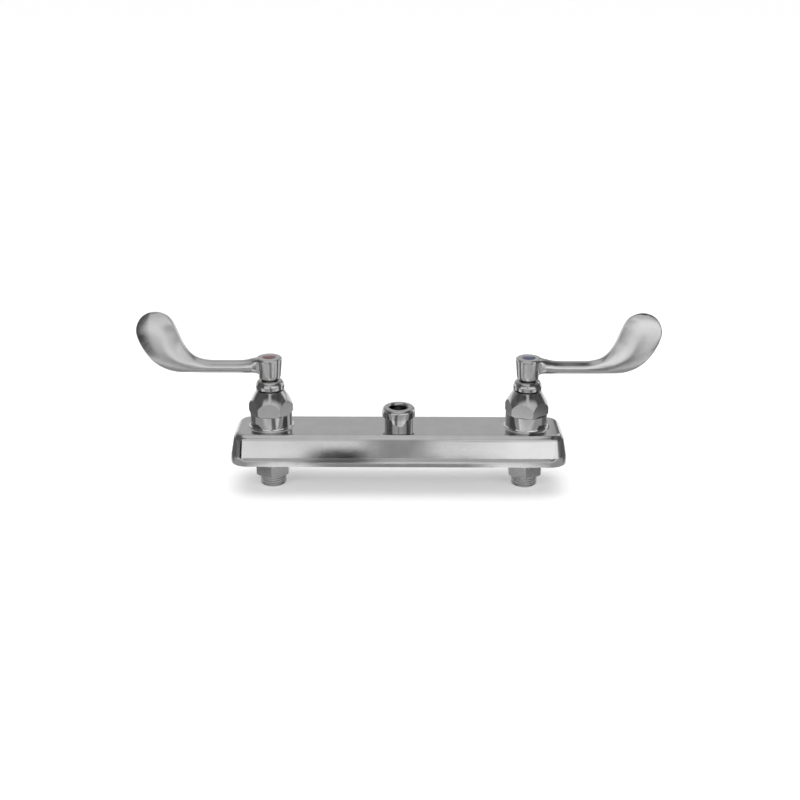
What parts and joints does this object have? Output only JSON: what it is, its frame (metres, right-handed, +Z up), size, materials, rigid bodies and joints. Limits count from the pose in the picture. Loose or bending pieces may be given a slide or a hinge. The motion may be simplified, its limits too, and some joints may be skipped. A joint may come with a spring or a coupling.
{
  "type": "basin mixer tap",
  "caption": "Deck-mounted mixer tap body without a spout: a long low chromed casting with a wrist-blade handle over the valve at each end and a threaded outlet between them.",
  "frame": {"origin": "on the deck plane, midway between the two valve axes", "axes": "+X from the hot side to the cold side along the body, +Y away from the user, +Z up out of the deck"},
  "size_m": [0.4078, 0.0534, 0.1441],
  "materials": {
    "body_chrome": "polished chrome plate",
    "adapter_chrome": "polished chrome plate",
    "handle_chrome": "polished chrome plate",
    "bonnet_chrome": "polished chrome plate",
    "gland_chrome": "polished chrome plate",
    "shank_plating": "dull nickel plate over brass, machined",
    "nut_plating": "dull nickel plate over brass, machined",
    "valve_brass": "turned",
    "fastener_steel": "stainless, plain",
    "gasket_rubber": "matt black",
    "seal_rubber": "matt black",
    "disc_ceramic": "lapped",
    "packing_plastic": "white, matt",
    "hot_index": "dark red, gloss",
    "cold_index": "dark blue, gloss"
  },
  "bodies": {
    "fixture": {"faucet_body": "body_chrome", "deck_gasket": "gasket_rubber", "outlet_adapter": "adapter_chrome", "outlet_o_ring": "seal_rubber", "hot_thrust_washer": "packing_plastic", "hot_fixed_disc": "disc_ceramic", "hot_seat_seal": "seal_rubber", "hot_cartridge_housing": "valve_brass", "hot_cartridge_o_ring": "seal_rubber", "hot_bonnet_nut": "bonnet_chrome", "hot_gland_packing": "packing_plastic", "hot_gland_nut": "gland_chrome", "hot_inlet_shank": "shank_plating", "hot_shank_gasket": "gasket_rubber", "hot_shank_washer": "fastener_steel", "hot_lock_nut": "nut_plating", "cold_thrust_washer": "packing_plastic", "cold_fixed_disc": "disc_ceramic", "cold_seat_seal": "seal_rubber", "cold_cartridge_housing": "valve_brass", "cold_cartridge_o_ring": "seal_rubber", "cold_bonnet_nut": "bonnet_chrome", "cold_gland_packing": "packing_plastic", "cold_gland_nut": "gland_chrome", "cold_inlet_shank": "shank_plating", "cold_shank_gasket": "gasket_rubber", "cold_shank_washer": "fastener_steel", "cold_lock_nut": "nut_plating"},
    "hot_valve": {"hot_handle": "handle_chrome", "hot_handle_screw": "fastener_steel", "hot_index_button": "hot_index", "hot_stem": "valve_brass", "hot_stem_o_rings": "seal_rubber", "hot_rotating_disc": "disc_ceramic"},
    "cold_valve": {"cold_handle": "handle_chrome", "cold_handle_screw": "fastener_steel", "cold_index_button": "cold_index", "cold_stem": "valve_brass", "cold_stem_o_rings": "seal_rubber", "cold_rotating_disc": "disc_ceramic"}
  },
  "joints": [
    {"name": "hot_handle_turn", "type": "hinge", "parent": "fixture", "child": "hot_valve", "pos_m": [-0.1016, 0, 0.0742], "axis": [0, 0, 1], "range_deg": [0, 90]},
    {"name": "cold_handle_turn", "type": "hinge", "parent": "fixture", "child": "cold_valve", "pos_m": [0.1016, 0, 0.0742], "axis": [0, 0, -1], "range_deg": [0, 90]}
  ]
}
